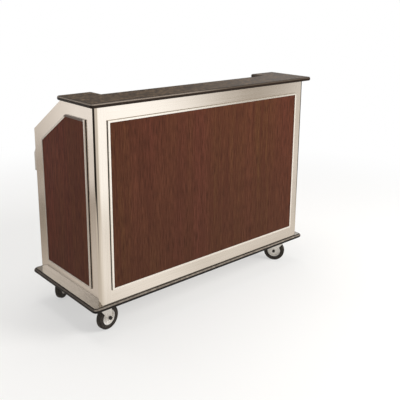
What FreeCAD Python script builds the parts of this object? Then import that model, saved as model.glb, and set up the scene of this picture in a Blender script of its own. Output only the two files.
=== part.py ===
import FreeCAD, Part
import os
import re
import Sketcher

# Portable bar on four swivel casters, in millimetres, +Z up.
# The customers' side faces -Y and the bartender's side +Y.
# The origin is on the floor, in the middle of the bar's length and depth.

SIZES = {
    # Whole bar: the frame between its corner posts, from the deck up to the bar top
    "frame_length": 1422,
    "frame_depth": 590,
    "worktop_height": 769,
    "splash_height": 196,
    "end_top_depth": 290,
    "slope_foot_rise": 5,
    # Walls: a folded frame round a board whose raised field carries a bright trim
    "wall_thickness": 20,
    "frame_sheet": 1.5,
    "frame_return": 8,
    "post_radius": 18,
    "stile_width": 65,
    "rail_width": 67,
    "end_front_stile": 76,
    "end_back_stile": 85,
    "slope_rail_width": 78,
    "fit_gap": 0.2,
    "trim_width": 10,
    "trim_height": 8,
    "trim_sheet": 2,
    "trim_edge_radius": 1.2,
    "trim_seat": 4,
    # Bar top
    "top_thickness": 22,
    "top_overhang_front": 32,
    "top_overhang_end": 33,
    "strip_depth": 185,
    "arm_depth": 280,
    "arm_width": 190,
    "edge_width": 12,
    "edge_radius": 9,
    "top_corner_radius": 14,
    # Base
    "deck_thickness": 25,
    "deck_sheet": 2,
    "deck_corner_radius": 12,
    "ledge_end": 32,
    "ledge_front": 1,
    "ledge_back": 14,
    "channel_width": 112,
    "channel_sheet": 2.5,
    "floor_thickness": 3,
    "bumper_height": 24,
    "bumper_thickness": 13,
    "bumper_base": 4,
    "bumper_lip": 2,
    # Sheet metal above the worktop
    "liner_sheet": 1.5,
    "liner_lap": 20,
    "liner_edge": 2,
    "splash_flange": 25,
    "worktop_sheet": 2,
    "nosing_depth": 30,
    "upturn_height": 10,
    # Ice bin
    "bin_length": 390,
    "bin_width": 325,
    "bin_depth": 250,
    "bin_sheet": 1.5,
    "bin_corner_radius": 30,
    "bin_floor_radius": 20,
    "bin_flange": 14,
    "bin_clearance": 1,
    "insulation_thickness": 25,
    "casing_sheet": 1.2,
    "foam_gap": 0.3,
    # Drain and its valve
    "drain_setback": 90,
    "drain_flange_radius": 29,
    "drain_flange_thickness": 2,
    "drain_pipe_radius": 16,
    "drain_pipe_wall": 2.5,
    "drain_pipe_drop": 95,
    "drain_hole_gap": 0.4,
    "strainer_hole_radius": 3,
    "strainer_hole_circle": 8.5,
    "valve_socket": 20,
    "valve_seat": 4,
    "valve_collar_wall": 4.5,
    "valve_body_radius": 24,
    "valve_body_height": 36,
    "valve_taper": 5,
    "spigot_radius": 11,
    "spigot_bore": 8,
    "spigot_length": 34,
    "spigot_boss_radius": 16,
    "spigot_boss_height": 3,
    "stem_radius": 4,
    "stem_clearance": 0.05,
    "stem_depth": 12,
    "gland_radius": 9,
    "gland_length": 16,
    "lever_gap": 0.5,
    "lever_thickness": 3,
    "lever_width": 14,
    "lever_length": 84,
    # Apron below the ice bin
    "apron_half_width": 280,
    "apron_drop": 356,
    "apron_return": 15,
    "apron_gap": 1,
    "slot_length": 60,
    "slot_height": 12,
    "slot_drop": 20,
    # Dividers and shelves
    "divider_centre": 295.5,
    "divider_thickness": 22,
    "edge_sheet": 1.5,
    "edge_leg": 15,
    "divider_setback": 2.2,
    "shelf_height": 286,
    "shelf_thickness": 15,
    "shelf_setback": 22,
    "bracket_leg": 18,
    "bracket_sheet": 1.5,
    "bracket_inset": 40,
    # Speed rails and the bars that they hang on
    "rail_lap": 14,
    "rail_length": 407,
    "rail_projection": 95,
    "rail_drop": 246,
    "rail_lip": 98,
    "rail_sheet": 1.5,
    "hanger_drop": 3,
    "hanger_sheet": 1.5,
    "hanger_height": 24,
    "hanger_inset": 18,
    "hook_gap": 0.4,
    "hook_seat": 0.3,
    "hook_leg": 10,
    # Casters
    "caster_height": 156,
    "caster_end_inset": 50,
    "caster_front_inset": 80,
    "caster_back_inset": 83,
    "caster_trail": 38,
    "turn_angle_front_left": 10,
    "turn_angle_front_right": 125,
    "turn_angle_back_left": 35,
    "turn_angle_back_right": 184,
    "plate_length": 100,
    "plate_width": 84,
    "plate_thickness": 3.5,
    "plate_corner": 8,
    "bolt_spacing_long": 76,
    "bolt_spacing_short": 60,
    "bolt_radius": 4,
    "bolt_hole_gap": 0.5,
    "bolt_flats": 13,
    "bolt_head": 5.3,
    "race_radius": 27,
    "race_height": 6.5,
    "race_taper": 4,
    "swivel_gap": 0.3,
    "crown_radius": 31,
    "crown_height": 5.7,
    "crown_bevel": 4,
    "kingpin_radius": 6,
    "kingpin_head_radius": 11,
    "kingpin_head_height": 3.7,
    "running_gap": 0.05,
    "fork_sheet": 3,
    "fork_half_length": 24,
    "fork_shoulder": 13,
    "fork_eye_radius": 13,
    "fork_corner_radius": 3,
    "tyre_gap": 6,
    "wheel_width": 32,
    "tyre_share": 0.37,
    "tyre_shoulder": 9,
    "rim_half_width": 12,
    "rim_thickness": 5,
    "web_half_thickness": 2.5,
    "hub_radius": 13,
    "hub_half_length": 18.5,
    "hub_side_gap": 0.5,
    "axle_radius": 5,
    "axle_head_flats": 17,
    "axle_head_height": 6,
    "rivet_radius": 3.5,
    "rivet_height": 2,
    "overrun": 5,
}

FORMULAS = {
    "frame_height": "worktop_height + splash_height",
    "slope_foot_height": "worktop_height + slope_foot_rise",
    "deck_z": "caster_height + deck_thickness",
    "top_z": "deck_z + frame_height",
    "worktop_z": "deck_z + worktop_height",
    "half_length": "frame_length / 2",
    "front_y": "(top_overhang_front - frame_depth - rail_projection) / 2",
    "back_y": "front_y + frame_depth",
    "inside_x": "half_length - wall_thickness",
    "inside_y": "front_y + wall_thickness",
    "slope_run": "(frame_depth - end_top_depth) / (frame_height - slope_foot_height)",
    "slope_stretch": "sqrt(1 + slope_run ^ 2)",
    "deck_half": "half_length + ledge_end",
    "deck_front": "front_y - ledge_front",
    "deck_back": "back_y + ledge_back",
    "worktop_half": "inside_x - liner_sheet - fit_gap",
    "worktop_front": "inside_y + liner_sheet + fit_gap",
    "under_worktop": "worktop_z - worktop_sheet",
    "floor_z": "deck_z + floor_thickness",
    "bin_y": "(worktop_front + back_y - apron_return) / 2",
    "bin_half_x": "bin_length / 2",
    "bin_half_y": "bin_width / 2",
    "bin_low": "worktop_z - bin_depth",
    "foam_in": "bin_sheet + foam_gap",
    "foam_out": "foam_in + insulation_thickness",
    "foam_low": "bin_low - foam_gap - insulation_thickness",
    "casing_low": "foam_low - foam_gap - casing_sheet",
    "drain_y": "bin_y + drain_setback",
    "pipe_low": "casing_low - drain_pipe_drop",
    "collar_top": "pipe_low + valve_socket",
    "body_top": "pipe_low - valve_seat",
    "body_low": "body_top - valve_body_height",
    "valve_z": "body_top - valve_body_height / 2",
    "spigot_seat": "valve_body_radius + spigot_boss_height",
    "spigot_end": "spigot_seat + spigot_length",
    "gland_end": "valve_body_radius + gland_length",
    "hook_y": "back_y + hanger_sheet + hook_gap",
    "lip_y": "hook_y + rail_sheet + hook_gap",
    "rail_back_y": "lip_y + hanger_sheet + hook_gap",
    "rail_front_y": "back_y + rail_projection",
    "rail_centre": "apron_half_width - rail_lap + rail_length / 2",
    "hanger_top": "worktop_z - hanger_drop",
    "rail_top": "hanger_top + hook_seat + rail_sheet",
    "rail_low": "worktop_z - rail_drop",
    "shelf_top": "deck_z + shelf_height",
    "shelf_low": "shelf_top - shelf_thickness",
    "shelf_back": "back_y - shelf_setback",
    "divider_back": "back_y - divider_setback - edge_sheet",
    "divider_inner": "divider_centre - divider_thickness / 2",
    "divider_outer": "divider_centre + divider_thickness / 2",
    "caster_x": "half_length - caster_end_inset",
    "caster_front": "front_y + caster_front_inset",
    "caster_back": "back_y - caster_back_inset",
    "plate_low": "caster_height - plate_thickness",
    "race_low": "plate_low - race_height",
    "crown_top": "race_low - swivel_gap",
    "fork_top": "crown_top - crown_height",
    "fork_under": "fork_top - fork_sheet",
    "kingpin_low": "fork_under - swivel_gap - kingpin_head_height",
    "wheel_radius": "(kingpin_low - tyre_gap) / 2",
    "rim_radius": "wheel_radius - wheel_radius * tyre_share",
    "rivet_circle": "(hub_radius + rim_radius - rim_thickness) / 2",
    "fork_half_width": "hub_half_length + hub_side_gap + fork_sheet",
}

doc = FreeCAD.newDocument("portable_bar")
sheet = doc.addObject("Spreadsheet::Sheet", "Sizes")
nodes = []


# Spreadsheet and the helpers that draw from it

def fill_sheet():
    row = 0
    for alias, number in SIZES.items():
        row += 1
        sheet.set(f"A{row}", alias)
        sheet.set(f"B{row}", str(number))
        sheet.setAlias(f"B{row}", alias)
    for alias, formula in FORMULAS.items():
        row += 1
        sheet.set(f"A{row}", alias)
        sheet.set(f"B{row}", "=" + formula)
        sheet.setAlias(f"B{row}", alias)
    doc.recompute()


def bound(text):
    """An expression in the sheet's aliases, as another object writes it."""
    words = r"[a-z_][a-z0-9_]*"
    known = set(SIZES) | set(FORMULAS)
    return re.sub(words, lambda word: ("Sizes." if word[0] in known else "") + word[0], text)


def value(text):
    return float(sheet.evalExpression(text))


def new_body(name, node=True):
    body = doc.addObject("PartDesign::Body", name)
    body.Label = name
    if node:
        nodes.append(body)
    return body


def place(body, x, y, z="0", turn="0"):
    body.Placement = FreeCAD.Placement(
        FreeCAD.Vector(value(x), value(y), value(z)),
        FreeCAD.Rotation(FreeCAD.Vector(0, 0, 1), value(turn)))
    body.setExpression("Placement.Base.x", bound(x))
    body.setExpression("Placement.Base.y", bound(y))
    body.setExpression("Placement.Base.z", bound(z))
    if turn != "0":
        body.setExpression("Placement.Rotation.Angle", bound(turn))


def new_sketch(body, plane, offset="0"):
    sketch = body.newObject("Sketcher::SketchObject", body.Name + "_sketch")
    datum = [item for item in body.Origin.OriginFeatures if item.Role == plane + "_Plane"]
    sketch.AttachmentSupport = [(datum[0], "")]
    sketch.MapMode = "FlatFace"
    if offset != "0":
        sketch.setExpression("AttachmentOffset.Base.z", bound(offset))
    return sketch


def pin_point(sketch, links, geometry, end, x, y, which="XY"):
    for letter, text in zip("XY", (x, y)):
        if letter in which:
            links.append((letter, geometry, end, text))


def bind_links(sketch, links):
    first = sketch.ConstraintCount
    sketch.addConstraint([
        Sketcher.Constraint("Distance" + letter, -1, 1, geometry, end, value(text))
        for letter, geometry, end, text in links])
    for index, (letter, geometry, end, text) in enumerate(links):
        if re.search("[a-z]", text):
            sketch.setExpression(f"Constraints[{first + index}]", bound(text))


def draw_outline(sketch, points):
    """Close an outline. A point is (x, y), or (x, y, centre x, centre y, turn) after an arc."""
    spots = [FreeCAD.Vector(value(point[0]), value(point[1]), 0) for point in points]
    count = len(points)
    base = sketch.GeometryCount
    ends = []
    links = []
    for index in range(count):
        start = spots[index]
        target = points[(index + 1) % count]
        stop = spots[(index + 1) % count]
        if len(target) == 2:
            sketch.addGeometry(Part.LineSegment(start, stop), False)
            ends.append((1, 2))
            continue
        centre = FreeCAD.Vector(value(target[2]), value(target[3]), 0)
        low, high = (start, stop) if target[4] == "ccw" else (stop, start)
        circle = Part.Circle(centre, FreeCAD.Vector(0, 0, 1), (start - centre).Length)
        arc = Part.ArcOfCircle(circle, circle.parameter(low), circle.parameter(high))
        sketch.addGeometry(arc, False)
        ends.append((1, 2) if target[4] == "ccw" else (2, 1))
        pin_point(sketch, links, base + index, 3, target[2], target[3])
    joints = []
    for index in range(count):
        following = (index + 1) % count
        joints.append(Sketcher.Constraint(
            "Coincident", base + index, ends[index][1], base + following, ends[following][0]))
    sketch.addConstraint(joints)
    for index, point in enumerate(points):
        which = "XY"
        if len(point) > 2:
            reach_x = abs(value(point[0]) - value(point[2]))
            reach_y = abs(value(point[1]) - value(point[3]))
            which = "Y" if reach_x > reach_y else "X"
        pin_point(sketch, links, base + index, ends[index][0], point[0], point[1], which)
    bind_links(sketch, links)


def draw_circle(sketch, x, y, radius):
    spot = FreeCAD.Vector(value(x), value(y), 0)
    index = sketch.addGeometry(
        Part.Circle(spot, FreeCAD.Vector(0, 0, 1), value(radius)), False)
    links = []
    pin_point(sketch, links, index, 3, x, y)
    bind_links(sketch, links)
    number = sketch.addConstraint(Sketcher.Constraint("Radius", index, value(radius)))
    sketch.setExpression(f"Constraints[{number}]", bound(radius))


def draw(sketch, shapes):
    """Draw outlines, each a list of points, and circles, each (x, y, radius)."""
    for shape in shapes:
        if isinstance(shape, list):
            draw_outline(sketch, shape)
        else:
            draw_circle(sketch, *shape)


def add(body, plane, shapes, low, high):
    """Pad the shapes from low to high along the plane's axis."""
    offset = f"-({high})" if plane == "XZ" else low
    sketch = new_sketch(body, plane, offset)
    draw(sketch, shapes)
    feature = body.newObject("PartDesign::Pad", body.Name + "_pad")
    feature.Profile = sketch
    feature.setExpression("Length", bound(f"({high}) - ({low})"))
    doc.recompute()
    return feature


def cut(body, plane, shapes, low, high):
    """Pocket the shapes from low to high along the plane's axis."""
    before = body.Shape.Volume
    offset = f"-({low})" if plane == "XZ" else high
    sketch = new_sketch(body, plane, offset)
    draw(sketch, shapes)
    feature = body.newObject("PartDesign::Pocket", body.Name + "_pocket")
    feature.Profile = sketch
    feature.setExpression("Length", bound(f"({high}) - ({low})"))
    doc.recompute()
    if body.Shape.Volume >= before:
        raise RuntimeError(feature.Name + " removes nothing")
    return feature


def turn_profile(body, plane, points, axis):
    sketch = new_sketch(body, plane)
    draw_outline(sketch, points)
    feature = body.newObject("PartDesign::Revolution", body.Name + "_turned")
    feature.Profile = sketch
    feature.ReferenceAxis = (sketch, [axis])
    doc.recompute()
    return feature


def round_edges(body, radius, chosen):
    """Fillet each edge whose two end points pass the test."""
    base = body.Tip
    names = []
    for index, edge in enumerate(base.Shape.Edges):
        spots = [vertex.Point for vertex in edge.Vertexes]
        if len(spots) == 2 and chosen(*spots):
            names.append(f"Edge{index + 1}")
    feature = body.newObject("PartDesign::Fillet", body.Name + "_fillet")
    feature.Base = (base, names)
    feature.setExpression("Radius", bound(radius))
    body.Tip = feature
    doc.recompute()
    return feature


def round_level(body, radius, level):
    """Fillet the edges that lie at one height."""
    height = value(level)
    round_edges(body, radius, lambda first, last: near(first.z, height) and near(last.z, height))


def hollow_out(body, wall, level):
    """Leave a wall of even thickness, open at the flat face at one height."""
    base = body.Tip
    height = value(level)
    names = [f"Face{index + 1}" for index, face in enumerate(base.Shape.Faces)
             if near(face.CenterOfMass.z, height)]
    feature = body.newObject("PartDesign::Thickness", body.Name + "_shell")
    feature.Base = (base, names)
    feature.Reversed = True
    feature.setExpression("Value", bound(wall))
    doc.recompute()
    return feature


def repeat_round(body, feature, axis_sketch_axis, copies):
    pattern = body.newObject("PartDesign::PolarPattern", body.Name + "_pattern")
    pattern.Originals = [feature]
    pattern.Axis = axis_sketch_axis
    pattern.Occurrences = copies
    body.Tip = pattern
    doc.recompute()
    return pattern


def group(name, members):
    """One node that holds like pieces as separate solids."""
    whole = doc.addObject("Part::Compound", name)
    whole.Label = name
    whole.Links = members
    nodes.append(whole)
    doc.recompute()
    return whole


def box(x_low, y_low, x_high, y_high):
    return [(x_low, y_low), (x_high, y_low), (x_high, y_high), (x_low, y_high)]


def centred_box(half_x, y_low, y_high):
    return box(f"-({half_x})", y_low, half_x, y_high)


def rounded_box(x_low, y_low, x_high, y_high, radius):
    left = f"{x_low} + {radius}"
    right = f"{x_high} - {radius}"
    near = f"{y_low} + {radius}"
    far = f"{y_high} - {radius}"
    return [
        (left, y_low, left, near, "ccw"), (right, y_low),
        (x_high, near, right, near, "ccw"), (x_high, far),
        (right, y_high, right, far, "ccw"), (left, y_high),
        (x_low, far, left, far, "ccw"), (x_low, near)]


def near(first, second):
    tolerance = value("fit_gap") / 10
    return abs(first - second) < tolerance


# Base: deck pan, cross channels, floor and bumper

def make_deck():
    body = new_body("base_deck")
    outer = rounded_box("-deck_half", "deck_front", "deck_half", "deck_back", "deck_corner_radius")
    add(body, "XY", [outer], "caster_height", "deck_z")
    inner = rounded_box(
        "-deck_half + deck_sheet", "deck_front + deck_sheet",
        "deck_half - deck_sheet", "deck_back - deck_sheet", "(deck_corner_radius - deck_sheet)")
    cut(body, "XY", [inner], "caster_height - overrun", "deck_z - deck_sheet")


def bolt_spots(x, y):
    spots = []
    for side_x in (-1, 1):
        for side_y in (-1, 1):
            spots.append((
                f"{x} + {side_x} * bolt_spacing_long / 2",
                f"{y} + {side_y} * bolt_spacing_short / 2"))
    return spots


def make_channels():
    channels = []
    for side in (-1, 1):
        body = new_body(f"channel_{len(channels) + 1}", node=False)
        centre = f"{side} * caster_x"
        left = f"{centre} - channel_width / 2"
        right = f"{centre} + channel_width / 2"
        low = "deck_front + deck_sheet + fit_gap"
        high = "deck_back - deck_sheet - fit_gap"
        add(body, "XY", [box(left, low, right, high)], "caster_height", "deck_z - deck_sheet")
        inner = box(
            left + " + channel_sheet", low + " - overrun",
            right + " - channel_sheet", high + " + overrun")
        cut(body, "XY", [inner], "caster_height + channel_sheet", "deck_z + overrun")
        holes = []
        for y in ("caster_front", "caster_back"):
            for spot in bolt_spots(centre, y):
                holes.append((*spot, "bolt_radius + bolt_hole_gap"))
        cut(body, "XY", holes, "caster_height - overrun", "caster_height + channel_sheet + overrun")
        channels.append(body)
    group("chassis_channels", channels)


def make_floor():
    body = new_body("floor_panel")
    add(body, "XY", [centred_box("inside_x", "inside_y", "back_y - liner_edge")], "deck_z", "floor_z")


def make_bumper():
    body = new_body("bumper_strip")
    path = new_sketch(body, "XY", "deck_z")
    left = "-deck_half + deck_corner_radius"
    right = "deck_half - deck_corner_radius"
    low = "deck_front + deck_corner_radius"
    high = "deck_back - deck_corner_radius"
    draw_outline(path, [
        ("0", "deck_front"), (right, "deck_front"),
        ("deck_half", low, right, low, "ccw"), ("deck_half", high),
        (right, "deck_back", right, high, "ccw"), (left, "deck_back"),
        ("-deck_half", high, left, high, "ccw"), ("-deck_half", low),
        (left, "deck_front", left, low, "ccw")])
    section = new_sketch(body, "YZ")
    base = "deck_front - bumper_base"
    face = "deck_front - bumper_thickness"
    bulge = "(bumper_thickness - bumper_base)"
    top = "deck_z"
    bottom = "deck_z - bumper_height"
    draw_outline(section, [
        ("deck_front", bottom), ("deck_front", top),
        (base, top), (base, f"{top} - bumper_lip"),
        (face, f"{top} - bumper_lip - {bulge}", base, f"{top} - bumper_lip - {bulge}", "ccw"),
        (face, f"{bottom} + bumper_lip + {bulge}"),
        (base, f"{bottom} + bumper_lip", base, f"{bottom} + bumper_lip + {bulge}", "ccw"),
        (base, bottom)])
    pipe = body.newObject("PartDesign::AdditivePipe", "bumper_pipe")
    pipe.Profile = section
    pipe.Spine = path
    doc.recompute()


# Walls: corner posts, folded frames, boards and bright trim

def make_posts():
    for name, side in (("corner_post_left", -1), ("corner_post_right", 1)):
        body = new_body(name)
        for inset, feature in (("0", add), ("frame_sheet", cut)):
            outer = f"{side} * (half_length - {inset})"
            inner = f"{side} * (inside_x + {inset})"
            bend_x = f"{side} * (half_length - post_radius)"
            bend_y = "front_y + post_radius"
            face = f"front_y + {inset}"
            back = f"inside_y - {inset}"
            outline = [
                (outer, back), (inner, back), (inner, face), (bend_x, face),
                (outer, bend_y, bend_x, bend_y, "cw" if side < 0 else "ccw")]
            extra = "0" if feature is add else "overrun"
            feature(body, "XY", [outline], f"deck_z - {extra}", f"top_z + {extra}")


def front_outline(margin):
    return centred_box(f"inside_x - {margin}", f"deck_z + {margin}", f"top_z - {margin}")


def front_window(margin):
    return centred_box(
        f"half_length - stile_width - {margin}",
        f"deck_z + rail_width + {margin}", f"top_z - rail_width - {margin}")


def five_sided(front, back, bottom, top, slope):
    """The end's outline in Y and Z, each side moved in by its margin."""
    y_front = f"front_y + {front}"
    y_back = f"back_y - {back}"
    z_low = f"deck_z + {bottom}"
    z_high = f"top_z - {top}"
    slope_y = f"(front_y + end_top_depth - ({slope}) * slope_stretch)"
    return [
        (y_front, z_low), (y_back, z_low),
        (y_back, f"top_z - (back_y - {back} - {slope_y}) / slope_run"),
        (f"{slope_y} + ({top}) * slope_run", z_high), (y_front, z_high)]


def end_outline(margin):
    return five_sided(f"wall_thickness + {margin}", margin, margin, margin, margin)


def end_window(margin):
    return five_sided(
        f"(end_front_stile + {margin})", f"(end_back_stile + {margin})",
        f"(rail_width + {margin})", f"(rail_width + {margin})", f"slope_rail_width + {margin}")


def layer(side, near_depth, far_depth):
    """Low and high X of a layer that lies between two depths behind an end's face."""
    spots = [f"{side} * (half_length - {depth})" for depth in (near_depth, far_depth)]
    return spots if side < 0 else spots[::-1]


def make_front_frame():
    body = new_body("front_frame")
    add(body, "XZ", [front_outline("0")], "front_y", "inside_y")
    cut(body, "XZ", [front_outline("frame_sheet")], "front_y + frame_sheet", "inside_y + overrun")
    add(body, "XZ", [front_window("(trim_seat - frame_sheet)")], "front_y", "front_y + frame_return")
    cut(body, "XZ", [front_window("trim_seat")], "front_y - overrun", "inside_y + overrun")


def make_front_panel():
    body = new_body("front_panel")
    outline = front_outline("(frame_sheet + fit_gap)")
    add(body, "XZ", [outline], "front_y + frame_return", "inside_y")
    field = front_window("(trim_seat + fit_gap)")
    add(body, "XZ", [field], "front_y - trim_height + trim_sheet", "front_y + frame_return")


def make_front_trim():
    body = new_body("front_panel_trim")
    face = "front_y - trim_height"
    add(body, "XZ", [front_window("0")], face, "front_y")
    level = value(face)
    round_edges(body, "trim_edge_radius", lambda first, last: near(first.y, level) and near(last.y, level))
    cut(body, "XZ", [front_window("trim_sheet")], face + " + trim_sheet", "front_y + overrun")
    cut(body, "XZ", [front_window("trim_width")], face + " - overrun", "front_y + overrun")


def make_end_frame(name, side):
    body = new_body(name)
    add(body, "YZ", [end_outline("0")], *layer(side, "0", "wall_thickness"))
    inside = layer(side, "frame_sheet", "(wall_thickness + overrun)")
    cut(body, "YZ", [end_outline("frame_sheet")], *inside)
    add(body, "YZ", [end_window("(trim_seat - frame_sheet)")], *layer(side, "0", "frame_return"))
    through = layer(side, "(-overrun)", "(wall_thickness + overrun)")
    cut(body, "YZ", [end_window("trim_seat")], *through)


def make_end_panel(name, side):
    body = new_body(name)
    outline = end_outline("(frame_sheet + fit_gap)")
    add(body, "YZ", [outline], *layer(side, "frame_return", "wall_thickness"))
    field = end_window("(trim_seat + fit_gap)")
    add(body, "YZ", [field], *layer(side, "(trim_sheet - trim_height)", "frame_return"))


def make_end_trims():
    trims = []
    for side in (-1, 1):
        body = new_body(f"end_trim_{len(trims) + 1}", node=False)
        add(body, "YZ", [end_window("0")], *layer(side, "(-trim_height)", "0"))
        level = value(f"{side} * (half_length + trim_height)")
        round_edges(body, "trim_edge_radius", lambda first, last: (
            near(first.x, level) and near(last.x, level)))
        inside = layer(side, "(trim_sheet - trim_height)", "overrun")
        cut(body, "YZ", [end_window("trim_sheet")], *inside)
        through = layer(side, "(-trim_height - overrun)", "overrun")
        cut(body, "YZ", [end_window("trim_width")], *through)
        trims.append(body)
    group("end_panel_trims", trims)


# Bar top: a U-shaped slab with a bullnose edge all round

def top_outline(inset):
    half = f"(half_length + top_overhang_end - {inset})"
    arm = f"(half_length + top_overhang_end - arm_width + {inset})"
    face = f"front_y - top_overhang_front + {inset}"
    strip = f"front_y + strip_depth - {inset}"
    arms = f"front_y + arm_depth - {inset}"
    return [
        (f"-{half}", face), (half, face), (half, arms), (arm, arms),
        (arm, strip), (f"-{arm}", strip), (f"-{arm}", arms), (f"-{half}", arms)]


def make_bar_top():
    body = new_body("bar_top")
    add(body, "XY", [top_outline("edge_width")], "top_z", "top_z + top_thickness")
    edge = new_body("bar_top_edge")
    add(edge, "XY", [top_outline("0")], "top_z", "top_z + top_thickness")
    strip = value("front_y + strip_depth")
    round_edges(edge, "top_corner_radius", lambda low, high: (
        near(low.x, high.x) and near(low.y, high.y) and not near(low.y, strip)))
    round_level(edge, "edge_radius", "top_z + top_thickness")
    round_level(edge, "edge_radius", "top_z")
    through = ("top_z - overrun", "top_z + top_thickness + overrun")
    cut(edge, "XY", [top_outline("edge_width")], *through)


# Sheet metal above and round the worktop

def make_backsplash():
    body = new_body("backsplash")
    back = "inside_y + liner_sheet"
    foot = "worktop_z - liner_lap"
    add(body, "XY", [centred_box("worktop_half", "inside_y", back)], foot, "top_z")
    flange = centred_box("worktop_half", "inside_y", "inside_y + splash_flange")
    add(body, "XY", [flange], "top_z - liner_sheet", "top_z")


def make_end_liner(name, side):
    body = new_body(name)
    outline = five_sided(
        "(wall_thickness + splash_flange + liner_edge)", "liner_edge",
        "(worktop_height - liner_lap)", "liner_edge", "liner_edge")
    add(body, "YZ", [outline], *layer(side, "wall_thickness", "(wall_thickness + liner_sheet)"))


def make_worktop():
    body = new_body("worktop")
    rim = "worktop_z + upturn_height"
    add(body, "XY", [centred_box("worktop_half", "worktop_front", "back_y")], "under_worktop", rim)
    inner = centred_box(
        "worktop_half - worktop_sheet", "worktop_front + worktop_sheet", "back_y + overrun")
    cut(body, "XY", [inner], "worktop_z", rim + " + overrun")
    noses = []
    for side in (-1, 1):
        ends = [f"{side} * (apron_half_width + apron_gap)", f"{side} * worktop_half"]
        x_low, x_high = ends if side > 0 else ends[::-1]
        noses.append(box(x_low, "worktop_z - nosing_depth", x_high, "worktop_z"))
    add(body, "XZ", noses, "back_y - worktop_sheet", "back_y")
    room = "(bin_sheet + bin_clearance)"
    hole = rounded_box(
        f"-bin_half_x - {room}", f"bin_y - bin_half_y - {room}",
        f"bin_half_x + {room}", f"bin_y + bin_half_y + {room}", f"(bin_corner_radius + {room})")
    cut(body, "XY", [hole], "under_worktop - overrun", "worktop_z + overrun")


# Ice bin with its insulation, casing, drain and valve

def bin_outline(margin, radius):
    return rounded_box(
        f"-bin_half_x - {margin}", f"bin_y - bin_half_y - {margin}",
        f"bin_half_x + {margin}", f"bin_y + bin_half_y + {margin}", radius)


def make_bin_liner():
    body = new_body("ice_bin_liner")
    outline = bin_outline("bin_sheet", "(bin_corner_radius + bin_sheet)")
    add(body, "XY", [outline], "bin_low", "worktop_z")
    round_level(body, "bin_floor_radius + bin_sheet", "bin_low")
    hollow_out(body, "bin_sheet", "worktop_z")
    rim = "worktop_z + bin_sheet"
    flange = bin_outline("bin_flange", "(bin_corner_radius + bin_flange)")
    add(body, "XY", [flange, bin_outline("0", "bin_corner_radius")], "worktop_z", rim)
    drain = ("0", "drain_y", "drain_pipe_radius + drain_hole_gap")
    cut(body, "XY", [drain], "bin_low - overrun", "bin_low + bin_sheet + overrun")


def make_bin_insulation():
    body = new_body("ice_bin_insulation")
    outer = centred_box("bin_half_x + foam_out", "bin_y - bin_half_y - foam_out", "bin_y + bin_half_y + foam_out")
    add(body, "XY", [outer], "foam_low", "under_worktop - foam_gap")
    inside = bin_outline("foam_in", "(bin_corner_radius + foam_in)")
    cut(body, "XY", [inside], "bin_low - foam_gap", "worktop_z + overrun")
    drain = ("0", "drain_y", "drain_pipe_radius + drain_hole_gap")
    cut(body, "XY", [drain], "foam_low - overrun", "bin_low + overrun")


def make_bin_casing():
    body = new_body("ice_bin_casing")
    for margin, feature, low, high in (
            ("(foam_out + foam_gap + casing_sheet)", add, "casing_low", "under_worktop"),
            ("(foam_out + foam_gap)", cut, "casing_low + casing_sheet", "worktop_z + overrun")):
        outline = centred_box(
            f"bin_half_x + {margin}", f"bin_y - bin_half_y - {margin}", f"bin_y + bin_half_y + {margin}")
        feature(body, "XY", [outline], low, high)
    drain = ("0", "drain_y", "drain_pipe_radius + drain_hole_gap")
    cut(body, "XY", [drain], "casing_low - overrun", "casing_low + casing_sheet + overrun")


def make_drain():
    body = new_body("drain_fitting")
    place(body, "0", "drain_y")
    bottom = "bin_low + bin_sheet"
    bore = "drain_pipe_radius - drain_pipe_wall"
    turn_profile(body, "XZ", [
        ("0", bottom), (bore, bottom), (bore, "pipe_low"), ("drain_pipe_radius", "pipe_low"),
        ("drain_pipe_radius", bottom), ("drain_flange_radius", bottom),
        ("drain_flange_radius", bottom + " + drain_flange_thickness / 2"),
        ("drain_pipe_radius", bottom + " + drain_flange_thickness"),
        ("0", bottom + " + drain_flange_thickness")], "V_Axis")
    low = bottom + " - overrun"
    high = bottom + " + drain_flange_thickness + overrun"
    cut(body, "XY", [("0", "0", "strainer_hole_radius")], low, high)
    hole = cut(body, "XY", [("strainer_hole_circle", "0", "strainer_hole_radius")], low, high)
    repeat_round(body, hole, (hole.Profile[0], ["N_Axis"]), STRAINER_HOLES)


def make_valve():
    body = new_body("drain_valve_body")
    place(body, "0", "drain_y")
    collar = "drain_pipe_radius + valve_collar_wall"
    turn_profile(body, "XZ", [
        ("0", "body_low"), ("valve_body_radius - valve_taper", "body_low"),
        ("valve_body_radius", "body_low + valve_taper"), ("valve_body_radius", "body_top - valve_taper"),
        (collar, "body_top"), (collar, "collar_top"),
        ("drain_pipe_radius", "collar_top"), ("drain_pipe_radius", "pipe_low"),
        ("spigot_bore", "pipe_low"), ("spigot_bore", "valve_z"), ("0", "valve_z")], "V_Axis")
    wall = "valve_body_radius - valve_taper"
    add(body, "XZ", [("0", "valve_z", "spigot_boss_radius")], wall, "spigot_seat")
    add(body, "XZ", [("0", "valve_z", "spigot_radius")], wall, "spigot_end")
    cut(body, "XZ", [("0", "valve_z", "spigot_bore")], "0", "spigot_end + overrun")
    add(body, "YZ", [("0", "valve_z", "gland_radius")], wall, "gland_end")
    stem = ("0", "valve_z", "stem_radius + stem_clearance")
    cut(body, "YZ", [stem], "gland_end - stem_depth", "gland_end + overrun")


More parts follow.
